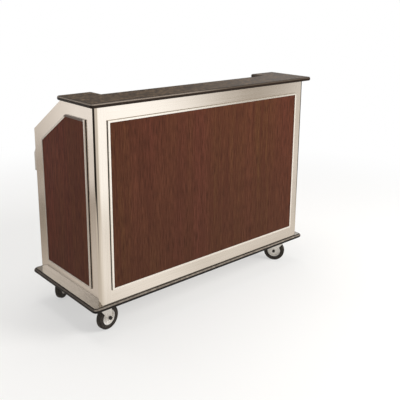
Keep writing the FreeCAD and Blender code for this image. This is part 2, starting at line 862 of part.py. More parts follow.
def make_valve_lever():
    body = new_body("drain_valve_lever")
    place(body, "0", "drain_y")
    plate_low = "gland_end + lever_gap"
    half = "lever_width / 2"
    handle = [
        ("0", f"valve_z - {half}", "0", "valve_z", "ccw"),
        (f"lever_length - {half}", f"valve_z - {half}"),
        (f"lever_length - {half}", f"valve_z + {half}", f"lever_length - {half}", "valve_z", "ccw"),
        ("0", f"valve_z + {half}")]
    sketch = new_sketch(body, "YZ", plate_low)
    draw_half_round_bar(sketch, handle)
    pad = body.newObject("PartDesign::Pad", "lever_pad")
    pad.Profile = sketch
    pad.setExpression("Length", bound("lever_thickness"))
    doc.recompute()
    add(body, "YZ", [("0", "valve_z", "stem_radius")], "gland_end - stem_depth + lever_gap", plate_low)


def draw_half_round_bar(sketch, points):
    """A bar with a half circle at each end: the last point of an arc is pinned along its tangent."""
    start, low, high, back = points
    spots = [FreeCAD.Vector(value(point[0]), value(point[1]), 0) for point in points]
    upward = FreeCAD.Vector(0, 0, 1)
    sketch.addGeometry(Part.LineSegment(spots[0], spots[1]), False)
    for centre, low_spot, high_spot in ((high, spots[1], spots[2]), (start, spots[3], spots[0])):
        middle = FreeCAD.Vector(value(centre[2]), value(centre[3]), 0)
        circle = Part.Circle(middle, upward, (low_spot - middle).Length)
        arc = Part.ArcOfCircle(circle, circle.parameter(low_spot), circle.parameter(high_spot))
        sketch.addGeometry(arc, False)
    sketch.addGeometry(Part.LineSegment(spots[2], spots[3]), False)
    sketch.addConstraint([
        Sketcher.Constraint("Coincident", 0, 2, 1, 1), Sketcher.Constraint("Coincident", 1, 2, 3, 1),
        Sketcher.Constraint("Coincident", 3, 2, 2, 1), Sketcher.Constraint("Coincident", 2, 2, 0, 1)])
    links = []
    pin_point(sketch, links, 0, 1, start[0], start[1])
    pin_point(sketch, links, 0, 2, low[0], low[1])
    pin_point(sketch, links, 3, 1, high[0], high[1], "X")
    pin_point(sketch, links, 3, 2, back[0], back[1], "X")
    pin_point(sketch, links, 1, 3, high[2], high[3])
    pin_point(sketch, links, 2, 3, start[2], start[3])
    bind_links(sketch, links)


# Apron, dividers, shelves and their trims

def make_apron():
    body = new_body("apron")
    low = "worktop_z - apron_drop"
    outline = centred_box("apron_half_width", low, "under_worktop")
    add(body, "XZ", [outline], "back_y - apron_return", "back_y")
    inner = centred_box(
        "apron_half_width - frame_sheet", low + " + frame_sheet", "under_worktop - frame_sheet")
    cut(body, "XZ", [inner], "back_y - apron_return - overrun", "back_y - frame_sheet")
    half = "slot_height / 2"
    middle = "worktop_z - slot_drop"
    reach = "(slot_length - slot_height) / 2"
    slot = [
        (f"-{reach}", f"{middle} - {half}", f"-{reach}", middle, "ccw"),
        (reach, f"{middle} - {half}"),
        (reach, f"{middle} + {half}", reach, middle, "ccw"),
        (f"-{reach}", f"{middle} + {half}")]
    sketch = new_sketch(body, "XZ", "-(back_y - apron_return - overrun)")
    draw_half_round_bar(sketch, slot)
    hole = body.newObject("PartDesign::Pocket", "apron_slot")
    hole.Profile = sketch
    hole.setExpression("Length", bound("apron_return + 2 * overrun"))
    doc.recompute()


def make_dividers():
    trims = []
    for name, side in (("divider_left", -1), ("divider_right", 1)):
        body = new_body(name)
        ends = [f"{side} * divider_inner", f"{side} * divider_outer"]
        x_low, x_high = ends if side > 0 else ends[::-1]
        outline = box(x_low, "worktop_front", x_high, "divider_back")
        add(body, "XY", [outline], "floor_z", "under_worktop")
        trim = new_body(f"divider_trim_{len(trims) + 1}", node=False)
        around = box(
            x_low + " - edge_sheet", "divider_back - edge_leg",
            x_high + " + edge_sheet", "divider_back + edge_sheet")
        add(trim, "XY", [around], "floor_z", "under_worktop")
        room = box(x_low, "divider_back - edge_leg - overrun", x_high, "divider_back")
        cut(trim, "XY", [room], "floor_z - overrun", "under_worktop + overrun")
        trims.append(trim)
    group("divider_edge_trims", trims)


def make_shelves():
    trims = []
    angles = []
    for name, side in (("shelf_left", -1), ("shelf_right", 1)):
        body = new_body(name)
        ends = [f"{side} * divider_outer", f"{side} * inside_x"]
        x_low, x_high = ends if side > 0 else ends[::-1]
        add(body, "XY", [box(x_low, "inside_y", x_high, "shelf_back")], "shelf_low", "shelf_top")
        trim = new_body(f"shelf_trim_{len(trims) + 1}", node=False)
        around = box(
            "shelf_back - edge_leg", "shelf_low - edge_sheet",
            "shelf_back + edge_sheet", "shelf_top + edge_sheet")
        span = (x_low + " + fit_gap", x_high + " - fit_gap")
        add(trim, "YZ", [around], *span)
        room = box("shelf_back - edge_leg - overrun", "shelf_low", "shelf_back", "shelf_top")
        cut(trim, "YZ", [room], x_low + " - overrun", x_high + " + overrun")
        trims.append(trim)
        for wall, inward in ((x_low, 1), (x_high, -1)):
            angle = new_body(f"shelf_angle_{len(angles) + 1}", node=False)
            tip = f"{wall} + {inward} * bracket_leg"
            flat = f"{wall} + {inward} * bracket_sheet"
            profile = [
                (wall, "shelf_low"), (wall, "shelf_low - bracket_leg"),
                (flat, "shelf_low - bracket_leg"), (flat, "shelf_low - bracket_sheet"),
                (tip, "shelf_low - bracket_sheet"), (tip, "shelf_low")]
            add(angle, "XZ", [profile], "inside_y + bracket_inset", "shelf_back - bracket_inset")
            angles.append(angle)
    group("shelf_edge_trims", trims)
    group("shelf_supports", angles)


# Speed rails: open troughs that hang on bars at the worktop's nosing

def make_speed_rail(name, side):
    body = new_body(name)
    x_low = f"{side} * rail_centre - rail_length / 2"
    x_high = f"{side} * rail_centre + rail_length / 2"
    lip_top = "rail_low + rail_lip"
    outline = [
        ("rail_back_y", "rail_low"), ("rail_front_y", "rail_low"), ("rail_front_y", lip_top),
        ("rail_front_y - rail_sheet", lip_top), ("rail_back_y + rail_sheet", "rail_top"),
        ("rail_back_y", "rail_top")]
    add(body, "YZ", [outline], x_low, x_high)
    trough = box(
        "rail_back_y + rail_sheet", "rail_low + rail_sheet",
        "rail_front_y - rail_sheet", "rail_top + overrun")
    cut(body, "YZ", [trough], x_low + " + rail_sheet", x_high + " - rail_sheet")
    hook = [
        ("hook_y", "rail_top"), ("hook_y", "rail_top - rail_sheet - hook_leg"),
        ("hook_y + rail_sheet", "rail_top - rail_sheet - hook_leg"),
        ("hook_y + rail_sheet", "rail_top - rail_sheet"),
        ("rail_back_y", "rail_top - rail_sheet"), ("rail_back_y", "rail_top")]
    inset = "(2 * hanger_inset)"
    add(body, "YZ", [hook], f"{x_low} + {inset}", f"{x_high} - {inset}")


def make_hangers():
    bars = []
    for side in (-1, 1):
        body = new_body(f"hanger_{len(bars) + 1}", node=False)
        low = "hanger_top - hanger_height"
        lip_end = "lip_y + hanger_sheet"
        profile = [
            ("back_y", "hanger_top"), ("back_y", low), (lip_end, low), (lip_end, "hanger_top"),
            ("lip_y", "hanger_top"), ("lip_y", low + " + hanger_sheet"),
            ("back_y + hanger_sheet", low + " + hanger_sheet"),
            ("back_y + hanger_sheet", "hanger_top")]
        add(body, "YZ", [profile],
            f"{side} * rail_centre - rail_length / 2 + hanger_inset",
            f"{side} * rail_centre + rail_length / 2 - hanger_inset")
        bars.append(body)
    group("speed_rail_hangers", bars)


# Casters: plate with raceway and kingpin, fork, axle, wheel and tyre

STRAINER_HOLES = 6
WHEEL_RIVETS = 5

CASTERS = {
    "front_left": ("-caster_x", "caster_front", "turn_angle_front_left"),
    "front_right": ("caster_x", "caster_front", "turn_angle_front_right"),
    "back_left": ("-caster_x", "caster_back", "turn_angle_back_left"),
    "back_right": ("caster_x", "caster_back", "turn_angle_back_right"),
}


def hexagon(x, y, flats):
    corner = f"{flats} / sqrt(3)"
    half = f"{flats} / 2"
    shares = ((1, 0), (0.5, 1), (-0.5, 1), (-1, 0), (-0.5, -1), (0.5, -1))
    return [(f"{x} + {along} * {corner}", f"{y} + {across} * {half}") for along, across in shares]


def make_caster_plate(corner, x, y):
    body = new_body("caster_plate_" + corner)
    place(body, x, y)
    half = "plate_length / 2"
    wide = "plate_width / 2"
    outline = rounded_box(f"-{half}", f"-{wide}", half, wide, "plate_corner")
    add(body, "XY", [outline], "plate_low", "caster_height")
    turn_profile(body, "XZ", [
        ("0", "caster_height - plate_thickness / 2"), ("0", "kingpin_low"),
        ("kingpin_head_radius", "kingpin_low"),
        ("kingpin_head_radius", "kingpin_low + kingpin_head_height"),
        ("kingpin_radius", "kingpin_low + kingpin_head_height"), ("kingpin_radius", "race_low"),
        ("race_radius - race_taper", "race_low"), ("race_radius", "plate_low"),
        ("race_radius", "caster_height - plate_thickness / 2")], "V_Axis")
    holes = [(*spot, "bolt_radius + bolt_hole_gap") for spot in bolt_spots("0", "0")]
    cut(body, "XY", holes, "plate_low - overrun", "caster_height + overrun")


def make_caster_fork(corner, x, y, turn):
    body = new_body("caster_fork_" + corner)
    place(body, x, y, "0", turn)
    side_z = "fork_top - fork_shoulder"
    outline = [
        ("-fork_half_length", "fork_top"), ("-fork_half_length", side_z),
        ("caster_trail - fork_eye_radius", "wheel_radius"),
        ("caster_trail + fork_eye_radius", "wheel_radius", "caster_trail", "wheel_radius", "ccw"),
        ("caster_trail + fork_half_length - fork_eye_radius", side_z),
        ("fork_half_length", "fork_top")]
    add(body, "XZ", [outline], "-fork_half_width", "fork_half_width")
    room = "fork_half_width - fork_sheet"
    clear = box(f"-({room})", "-overrun", room, "fork_under")
    reach = "caster_trail + crown_radius + overrun"
    cut(body, "YZ", [clear], f"-({reach})", reach)
    level = value("fork_top")
    width = value("fork_half_width")
    round_edges(body, "fork_corner_radius", lambda first, last: (
        near(first.z, level) and near(last.z, level)
        and near(abs(first.y), width) and near(first.y, last.y)))
    turn_profile(body, "XZ", [
        ("0", "fork_under"), ("crown_radius - crown_bevel", "fork_under"),
        ("crown_radius", "fork_top"), ("crown_radius", "fork_top + crown_height / 2"),
        ("crown_radius - crown_bevel", "crown_top"), ("0", "crown_top")], "V_Axis")
    pin = ("0", "0", "kingpin_radius + running_gap")
    cut(body, "XY", [pin], "fork_under - overrun", "crown_top + overrun")
    eye = ("caster_trail", "wheel_radius", "axle_radius + running_gap")
    cut(body, "XZ", [eye], "-fork_half_width - overrun", "fork_half_width + overrun")


def place_wheel(body, x, y, turn):
    place(body, f"{x} + caster_trail * cos({turn} * 1deg)",
          f"{y} + caster_trail * sin({turn} * 1deg)", "wheel_radius", turn)


def make_caster_axle(corner, x, y, turn):
    body = new_body("caster_axle_" + corner)
    place_wheel(body, x, y, turn)
    end = "(fork_half_width + axle_head_height)"
    add(body, "XZ", [("0", "0", "axle_radius")], f"-{end}", end)
    head = [hexagon("0", "0", "axle_head_flats")]
    add(body, "XZ", head, f"-{end}", "-fork_half_width")
    add(body, "XZ", head, "fork_half_width", end)


def make_caster_wheel(corner, x, y, turn):
    body = new_body("caster_wheel_" + corner)
    place_wheel(body, x, y, turn)
    bore = "axle_radius + running_gap"
    rim_in = "rim_radius - rim_thickness"
    half = [
        ("hub_half_length", bore), ("hub_half_length", "hub_radius"),
        ("web_half_thickness", "hub_radius"), ("web_half_thickness", rim_in),
        ("rim_half_width", rim_in), ("rim_half_width", "rim_radius")]
    mirrored = [(f"-{along}", out) for along, out in reversed(half)]
    turn_profile(body, "YZ", half + mirrored, "H_Axis")
    face = "web_half_thickness + rivet_height"
    rivet = add(body, "XZ", [("rivet_circle", "0", "rivet_radius")], f"-({face})", face)
    repeat_round(body, rivet, (rivet.Profile[0], ["N_Axis"]), WHEEL_RIVETS)


def make_caster_tyre(corner, x, y, turn):
    body = new_body("caster_tyre_" + corner)
    place_wheel(body, x, y, turn)
    half = "wheel_width / 2"
    bend_y = f"{half} - tyre_shoulder"
    bend_r = "wheel_radius - tyre_shoulder"
    turn_profile(body, "YZ", [
        (f"-({half})", "rim_radius"), (half, "rim_radius"), (half, bend_r),
        (bend_y, "wheel_radius", bend_y, bend_r, "ccw"), (f"-({bend_y})", "wheel_radius"),
        (f"-({half})", bend_r, f"-({bend_y})", bend_r, "ccw")], "H_Axis")


def make_caster_bolts():
    master = new_body("caster_bolt", node=False)
    nut_low = "caster_height + channel_sheet"
    add(master, "XY", [("0", "0", "bolt_radius")], "plate_low - bolt_head", nut_low + " + bolt_head")
    head = [hexagon("0", "0", "bolt_flats")]
    add(master, "XY", head, "plate_low - bolt_head", "plate_low")
    add(master, "XY", head, nut_low, nut_low + " + bolt_head")
    copies = []
    for x, y, turn in CASTERS.values():
        for spot_x, spot_y in bolt_spots(x, y):
            copy = master.Shape.copy()
            copy.translate(FreeCAD.Vector(value(spot_x), value(spot_y), 0))
            copies.append(copy)
    bolts = doc.addObject("Part::Feature", "caster_bolts")
    bolts.Label = "caster_bolts"
    bolts.Shape = Part.makeCompound(copies)
    nodes.append(bolts)


def make_casters():
    for corner, (x, y, turn) in CASTERS.items():
        make_caster_plate(corner, x, y)
        make_caster_fork(corner, x, y, turn)
        make_caster_axle(corner, x, y, turn)
        make_caster_wheel(corner, x, y, turn)
        make_caster_tyre(corner, x, y, turn)
    make_caster_bolts()


# Checks and export

def check_document():
    doc.recompute()
    for item in doc.Objects:
        if "Invalid" in item.State or "Error" in item.State:
            raise RuntimeError(item.Label + " failed: " + ", ".join(item.State))
    for node in nodes:
        if node.Shape.isNull() or not node.Shape.isValid():
            raise RuntimeError(node.Label + " has no valid shape")


def export_nodes():
    os.makedirs("parts", exist_ok=True)
    for node in nodes:
        node.Shape.exportStep(os.path.join("parts", node.Label + ".step"))
        print(node.Label, len(node.Shape.Solids), round(node.Shape.Volume / 1000), "cm3")
    print(len(nodes), "nodes")


fill_sheet()
make_deck()
make_channels()
make_floor()
make_bumper()
make_posts()
make_front_frame()
make_front_panel()
make_front_trim()
for end_name, end_side in (("left", -1), ("right", 1)):
    make_end_frame("end_frame_" + end_name, end_side)
    make_end_panel("end_panel_" + end_name, end_side)
    make_end_liner("end_liner_" + end_name, end_side)
    make_speed_rail("speed_rail_" + end_name, end_side)
make_end_trims()
make_bar_top()
make_backsplash()
make_worktop()
make_bin_liner()
make_bin_insulation()
make_bin_casing()
make_drain()
make_valve()
make_valve_lever()
make_apron()
make_dividers()
make_shelves()
make_hangers()
make_casters()
check_document()
export_nodes()
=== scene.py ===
import bpy
import math
from mathutils import Matrix, Vector


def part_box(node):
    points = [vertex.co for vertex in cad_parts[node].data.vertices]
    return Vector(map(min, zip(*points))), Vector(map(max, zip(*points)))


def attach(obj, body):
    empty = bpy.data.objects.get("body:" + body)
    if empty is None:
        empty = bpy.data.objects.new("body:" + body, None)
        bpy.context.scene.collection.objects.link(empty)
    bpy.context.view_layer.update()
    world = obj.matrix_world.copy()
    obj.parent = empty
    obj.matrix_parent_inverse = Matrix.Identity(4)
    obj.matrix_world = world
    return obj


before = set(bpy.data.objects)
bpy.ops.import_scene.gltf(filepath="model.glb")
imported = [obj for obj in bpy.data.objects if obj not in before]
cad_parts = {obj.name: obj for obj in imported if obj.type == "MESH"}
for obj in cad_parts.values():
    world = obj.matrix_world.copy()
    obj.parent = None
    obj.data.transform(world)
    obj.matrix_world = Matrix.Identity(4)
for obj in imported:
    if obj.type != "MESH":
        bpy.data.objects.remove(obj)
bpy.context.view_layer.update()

MM = 0.001

# Deck pan and cross channels.
# The deck is a folded pan of satin stainless sheet. Two channels under it are
# pressed from steel, painted black with a faint peel, and carry the casters.

# A Mix node's colour sockets share their names with its number sockets, so they go by place.
MIX_A, MIX_B, MIX_OUT = 6, 7, 2
COLOURS = {"data_type": "RGBA"}
# Most values of a noise lie in the first range. The second gives a harder edge between two tones.
MOST_NOISE = {"From Min": 0.3, "From Max": 0.7}
MID_NOISE = {"From Min": 0.35, "From Max": 0.65}


def linear(text):
    """Linear RGBA of an sRGB hex colour."""
    parts = [int(text[i:i + 2], 16) / 255 for i in (1, 3, 5)]
    return [c / 12.92 if c <= 0.04045 else ((c + 0.055) / 1.055) ** 2.4 for c in parts] + [1]


def add_node(tree, kind, settings, links=None):
    """One shader node. A key of settings is one of its own properties, or one of its inputs."""
    made = tree.nodes.new(kind)
    for key, setting in settings.items():
        if isinstance(key, str) and key in made.bl_rna.properties:
            setattr(made, key, setting)
        else:
            made.inputs[key].default_value = setting
    for key, socket in (links or {}).items():
        tree.links.new(socket, made.inputs[key])
    return made


def new_finish(name):
    """An empty material with its principled shader, its tree and its object coordinates."""
    finish = bpy.data.materials.new(name)
    finish.use_nodes = True
    tree = finish.node_tree
    tree.nodes.clear()
    shader = add_node(tree, "ShaderNodeBsdfPrincipled", {})
    add_node(tree, "ShaderNodeOutputMaterial", {}, {"Surface": shader.outputs["BSDF"]})
    place = add_node(tree, "ShaderNodeTexCoord", {}).outputs["Object"]
    return finish, tree, shader, place


def feed(tree, shader, links):
    """Links sockets to the shader's inputs, by name."""
    for word, socket in links.items():
        tree.links.new(socket, shader.inputs[word])


def streaks(tree, place, across_mm, along_mm, grain, detail=3):
    """Noise drawn out along one axis; the other two get the fine spacing."""
    fine, long = 1 / (across_mm * MM), 1 / (along_mm * MM)
    scale = [long if axis == grain else fine for axis in "XYZ"]
    stretched = add_node(tree, "ShaderNodeMapping", {"Scale": scale}, {"Vector": place})
    return add_node(
        tree, "ShaderNodeTexNoise", {"Scale": 1, "Detail": detail, "Roughness": 0.6},
        {"Vector": stretched.outputs[0]}).outputs[0]


def satin(tree, shader, grit, smear, light, dark, roughness, metallic=1):
    """A steel's satin: grit gives its tone, gloss and relief, and wiped smears vary the gloss too."""
    contrast = add_node(tree, "ShaderNodeMapRange", MOST_NOISE, {"Value": grit}).outputs[0]
    tone = add_node(
        tree, "ShaderNodeMix", {**COLOURS, MIX_A: linear(dark), MIX_B: linear(light)},
        {0: contrast}).outputs[MIX_OUT]
    scratched = add_node(
        tree, "ShaderNodeMapRange", {**MOST_NOISE, "To Min": 0.9, "To Max": 1.15}, {"Value": grit}).outputs[0]
    wiped = add_node(
        tree, "ShaderNodeMapRange", {**MID_NOISE, "To Min": roughness * 0.9, "To Max": roughness * 1.12},
        {"Value": smear}).outputs[0]
    gloss = add_node(tree, "ShaderNodeMath", {"operation": "MULTIPLY"}, {0: scratched, 1: wiped}).outputs[0]
    bump = add_node(tree, "ShaderNodeBump", {"Strength": 0.25, "Distance": 0.04 * MM}, {"Height": grit})
    shader.inputs["Metallic"].default_value = metallic
    feed(tree, shader, {"Base Color": tone, "Roughness": gloss, "Normal": bump.outputs[0]})


def brushed_steel(name, light, dark, grain, roughness, across_mm=2.5, along_mm=420, metallic=1):
    """Stainless sheet with a directional satin grain. The real scratches are a few hundredths of a
    millimetre apart, so they are drawn coarser to show."""
    finish, tree, shader, place = new_finish(name)
    grit = streaks(tree, place, across_mm, along_mm, grain)
    smear = add_node(tree, "ShaderNodeTexNoise", {"Scale": 5, "Detail": 2}, {"Vector": place}).outputs[0]
    satin(tree, shader, grit, smear, light, dark, roughness, metallic)
    return finish


def mottled(name, speck_mm, detail, dark, light, smooth, rough,
            metallic=0, specular=0.5, relief=0, tone_from=(0, 1)):
    """Paint, plate, rubber or a casting, with one fine mottle in its tone, its gloss and any relief."""
    finish, tree, shader, place = new_finish(name)
    speck = add_node(
        tree, "ShaderNodeTexNoise", {"Scale": 1 / (speck_mm * MM), "Detail": detail},
        {"Vector": place}).outputs[0]
    contrast = add_node(
        tree, "ShaderNodeMapRange", {"From Min": tone_from[0], "From Max": tone_from[1]},
        {"Value": speck}).outputs[0]
    tone = add_node(
        tree, "ShaderNodeMix", {**COLOURS, MIX_A: linear(dark), MIX_B: linear(light)},
        {0: contrast}).outputs[MIX_OUT]
    gloss = add_node(
        tree, "ShaderNodeMapRange", {**MOST_NOISE, "To Min": smooth, "To Max": rough}, {"Value": speck})
    feed(tree, shader, {"Base Color": tone, "Roughness": gloss.outputs[0]})
    shader.inputs["Metallic"].default_value = metallic
    shader.inputs["Specular IOR Level"].default_value = specular
    if relief:
        bump = add_node(tree, "ShaderNodeBump", {"Strength": relief, "Distance": 0.2 * MM}, {"Height": speck})
        feed(tree, shader, {"Normal": bump.outputs[0]})
    return finish


def paint(finish, *names):
    """Gives CAD nodes their finish, in every material slot they have."""
    for name in names:
        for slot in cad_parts[name].material_slots:
            slot.material = finish


paint(brushed_steel("satin_stainless_deck", "#c8c4be", "#bbb6af", "Y", 0.2), "base_deck")
paint(mottled("black_painted_channel", 3, 2, "#1d1d1e", "#2c2b2b", 0.42, 0.6), "chassis_channels")

# Floor of the bays, dividers and shelves.
# Boards faced with black pebble-textured laminate, rubbed dull in places. Their
# back edges are capped with folded stainless, and stainless angles hold the shelves.

RUBBED_NOISE = {"From Min": 0.35, "From Max": 0.7}
black_laminate, tree, shader, place = new_finish("black_pebble_laminate")
pebble = add_node(
    tree, "ShaderNodeTexVoronoi", {"Scale": 1 / (2.5 * MM), "feature": "SMOOTH_F1"}, {"Vector": place})
rub = add_node(tree, "ShaderNodeTexNoise", {"Scale": 9, "Detail": 4}, {"Vector": place}).outputs[0]
rubbed = add_node(tree, "ShaderNodeMapRange", RUBBED_NOISE, {"Value": rub}).outputs[0]
tone = add_node(
    tree, "ShaderNodeMix", {**COLOURS, MIX_A: linear("#171513"), MIX_B: linear("#26221f")}, {0: rubbed})
gloss = add_node(
    tree, "ShaderNodeMapRange", {**MOST_NOISE, "To Min": 0.38, "To Max": 0.55}, {"Value": rub})
bump = add_node(
    tree, "ShaderNodeBump", {"Strength": 0.3, "Distance": 0.15 * MM}, {"Height": pebble.outputs[0]})
feed(tree, shader, {
    "Base Color": tone.outputs[MIX_OUT], "Roughness": gloss.outputs[0], "Normal": bump.outputs[0]})
paint(black_laminate, "floor_panel", "divider_left", "divider_right", "shelf_left", "shelf_right")

upright_trim = brushed_steel("satin_stainless_upright_trim", "#f4ebdf", "#e6dccf", "Z", 0.2)
shelf_trim = brushed_steel("satin_stainless_shelf_trim", "#f4ebdf", "#e6dccf", "X", 0.2)
paint(upright_trim, "divider_edge_trims")
paint(shelf_trim, "shelf_edge_trims", "shelf_supports")

# Bumper.
# A soft vinyl strip, extruded with a bulged face and pressed round the deck's
# rim. It is nearly black, and a painted highlight with a streaky noise lies on
# the bulge's crown, paler on the front than on the ends.

FADE = {"interpolation_type": "SMOOTHSTEP"}
# Depths behind the bumper's front face over which the painted highlight turns from its pale front tone to its
# darker end tone.
FRONT_HIGHLIGHT_TO, END_HIGHLIGHT_FROM = 10 * MM, 14 * MM


def highlight_band(tree, height, top, foot_mm, full_from_mm, full_to_mm, lip_mm):
    """1 on the crown of a bulge and 0 above and below it: the band that takes a painted highlight. The four
    places are depths below its top.
    """
    foot, full_from, full_to, lip = (
        top - depth_mm * MM for depth_mm in (foot_mm, full_from_mm, full_to_mm, lip_mm))
    into_crown = add_node(
        tree, "ShaderNodeMapRange", {**FADE, "From Min": foot, "From Max": full_from},
        {"Value": height}).outputs[0]
    past_crown = add_node(
        tree, "ShaderNodeMapRange", {**FADE, "From Min": full_to, "From Max": lip, "To Min": 1, "To Max": 0},
        {"Value": height}).outputs[0]
    return add_node(
        tree, "ShaderNodeMath", {"operation": "MULTIPLY"}, {0: into_crown, 1: past_crown}).outputs[0]


bumper_vinyl, tree, shader, place = new_finish("extruded_bumper_vinyl")
bumper_low, bumper_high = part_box("bumper_strip")
spot = add_node(tree, "ShaderNodeSeparateXYZ", {}, {"Vector": place})
highlight_noise = add_node(tree, "ShaderNodeTexNoise", {"Scale": 60, "Detail": 4}, {"Vector": place}).outputs[0]
highlight_streaks = add_node(tree, "ShaderNodeMapRange", RUBBED_NOISE, {"Value": highlight_noise}).outputs[0]
mottle = add_node(
    tree, "ShaderNodeTexNoise", {"Scale": 1 / (4 * MM), "Detail": 2}, {"Vector": place}).outputs[0]
base_tone, front_highlight, end_highlight = (
    add_node(
        tree, "ShaderNodeMix", {**COLOURS, MIX_A: linear(dark), MIX_B: linear(light)},
        {0: factor}).outputs[MIX_OUT]
    for factor, dark, light in (
        (mottle, "#120d0a", "#1b1510"), (highlight_streaks, "#6f665d", "#978d82"), (highlight_streaks, "#4d4640", "#645b53")))
on_front = add_node(
    tree, "ShaderNodeMapRange", {
        "From Min": bumper_low.y + END_HIGHLIGHT_FROM, "From Max": bumper_low.y + FRONT_HIGHLIGHT_TO},
    {"Value": spot.outputs["Y"]}).outputs[0]
highlight_tone = add_node(
    tree, "ShaderNodeMix", COLOURS, {0: on_front, MIX_A: end_highlight, MIX_B: front_highlight}).outputs[MIX_OUT]
crown = highlight_band(tree, spot.outputs["Z"], bumper_high.z, 8.5, 6, 2.6, 1.4)
# Painted highlight on the bulge's crown, paler on the front than on the ends.
tone = add_node(tree, "ShaderNodeMix", COLOURS, {0: crown, MIX_A: base_tone, MIX_B: highlight_tone})
gloss = add_node(
    tree, "ShaderNodeMapRange", {**MOST_NOISE, "To Min": 0.42, "To Max": 0.58}, {"Value": mottle})
bump = add_node(tree, "ShaderNodeBump", {"Strength": 0.2, "Distance": 0.2 * MM}, {"Height": mottle})
feed(tree, shader, {
    "Base Color": tone.outputs[MIX_OUT], "Roughness": gloss.outputs[0], "Normal": bump.outputs[0]})
shader.inputs["Specular IOR Level"].default_value = 0.2
paint(bumper_vinyl, "bumper_strip")

# Corner posts and folded frames.
# Brushed stainless, folded from sheet. The grain runs up the stiles and posts
# and along the rails, and the post's bend catches one long upright highlight.

FRONT_STILES_FROM = 646 * MM
END_MIDDLE, END_STILES_FROM = -36 * MM, 220 * MM

post_steel = brushed_steel("satin_stainless_post", "#f6ebdc", "#ece0d0", "Z", 0.07)
paint(post_steel, "corner_post_left", "corner_post_right")


def framed_steel(name, light, dark, along, middle, stiles_from, roughness):
    """Satin stainless frame. Its grain runs along the rails, and upright past the mitres at the stiles."""
    finish, tree, shader, place = new_finish(name)
    upright = streaks(tree, place, 2.5, 420, "Z")
    level = streaks(tree, place, 2.5, 420, along)
    spot = add_node(tree, "ShaderNodeSeparateXYZ", {}, {"Vector": place}).outputs[along]
    from_middle = add_node(tree, "ShaderNodeMath", {"operation": "SUBTRACT", 1: middle}, {0: spot}).outputs[0]
    reach = add_node(tree, "ShaderNodeMath", {"operation": "ABSOLUTE"}, {0: from_middle}).outputs[0]
    on_stile = add_node(
        tree, "ShaderNodeMath", {"operation": "GREATER_THAN", 1: stiles_from}, {0: reach}).outputs[0]
    grit = add_node(tree, "ShaderNodeMix", {}, {0: on_stile, 2: level, 3: upright}).outputs[0]
    smear = add_node(tree, "ShaderNodeTexNoise", {"Scale": 4, "Detail": 3}, {"Vector": place}).outputs[0]
    satin(tree, shader, grit, smear, light, dark, roughness)
    return finish


# The front frame is tinted paler than the ends as painted light; the ends' darker tint is painted shade.
front_steel = framed_steel(
    "satin_stainless_front_frame", "#fdf4e8", "#f5eadc", "X", 0, FRONT_STILES_FROM, 0.17)
end_steel = framed_steel(
    "satin_stainless_end_frame", "#f6eade", "#eee2d4", "Y", END_MIDDLE, END_STILES_FROM, 0.17)
paint(front_steel, "front_frame")
paint(end_steel, "end_frame_left", "end_frame_right")

# Boards of the front and ends.
# Particle board faced with a red-brown wood-print laminate, satin, with fine
# upright streaks and painted shade that darkens it toward the floor. The side
# toward the bays is black.

SKIN = 2 * MM
SHADE_BELOW, UNSHADED_ABOVE, DEEPEST_SHADE = 0.2, 1.05, 0.24


def wood_laminate(name, outside_from, axis, sign, pore_mm, red, olive, band, pore):
    """Straight-grained wood print: fine pores, wider bands, and slow drifts of red and olive."""
    finish, tree, shader, place = new_finish(name)
    spot = add_node(tree, "ShaderNodeSeparateXYZ", {}, {"Vector": place})
    pores = streaks(tree, place, pore_mm, 70, "Z", 4)
    bands = streaks(tree, place, 14, 420, "Z")
    drift = streaks(tree, place, 150, 2200, "Z", 1)
    to_olive, past_band, past_pore, floor_shade, gloss = (
        add_node(tree, "ShaderNodeMapRange", span, {"Value": pattern}).outputs[0]
        for pattern, span in (
            (drift, MID_NOISE), (bands, MID_NOISE), (pores, {"From Min": 0.36, "From Max": 0.56}),
            (spot.outputs["Z"], {
                "From Min": SHADE_BELOW, "From Max": UNSHADED_ABOVE, "To Min": DEEPEST_SHADE, "To Max": 0}),
            (pores, {**MOST_NOISE, "To Min": 0.6, "To Max": 0.5})))
    outward = add_node(
        tree, "ShaderNodeMath", {"operation": "MULTIPLY", 1: sign}, {0: spot.outputs[axis]}).outputs[0]
    outside = add_node(
        tree, "ShaderNodeMath", {"operation": "GREATER_THAN", 1: outside_from}, {0: outward}).outputs[0]
    ground = add_node(
        tree, "ShaderNodeMix", {**COLOURS, MIX_A: linear(red), MIX_B: linear(olive)},
        {0: to_olive}).outputs[MIX_OUT]
    banded = add_node(
        tree, "ShaderNodeMix", {**COLOURS, MIX_A: linear(band)},
        {0: past_band, MIX_B: ground}).outputs[MIX_OUT]
    # Painted shade: the print darkens toward the floor.
    floor_shaded = add_node(
        tree, "ShaderNodeMix", {**COLOURS, MIX_B: linear("#2e2415")},
        {0: floor_shade, MIX_A: banded}).outputs[MIX_OUT]
    lined = add_node(
        tree, "ShaderNodeMix", {**COLOURS, MIX_A: linear(pore)}, {0: past_pore, MIX_B: floor_shaded}).outputs[MIX_OUT]
    tone = add_node(
        tree, "ShaderNodeMix", {**COLOURS, MIX_A: linear("#191715")}, {0: outside, MIX_B: lined})
    bump = add_node(tree, "ShaderNodeBump", {"Strength": 0.3, "Distance": 0.1 * MM}, {"Height": pores})
    feed(tree, shader, {"Base Color": tone.outputs[MIX_OUT], "Roughness": gloss, "Normal": bump.outputs[0]})
    shader.inputs["Specular IOR Level"].default_value = 0.12
    return finish


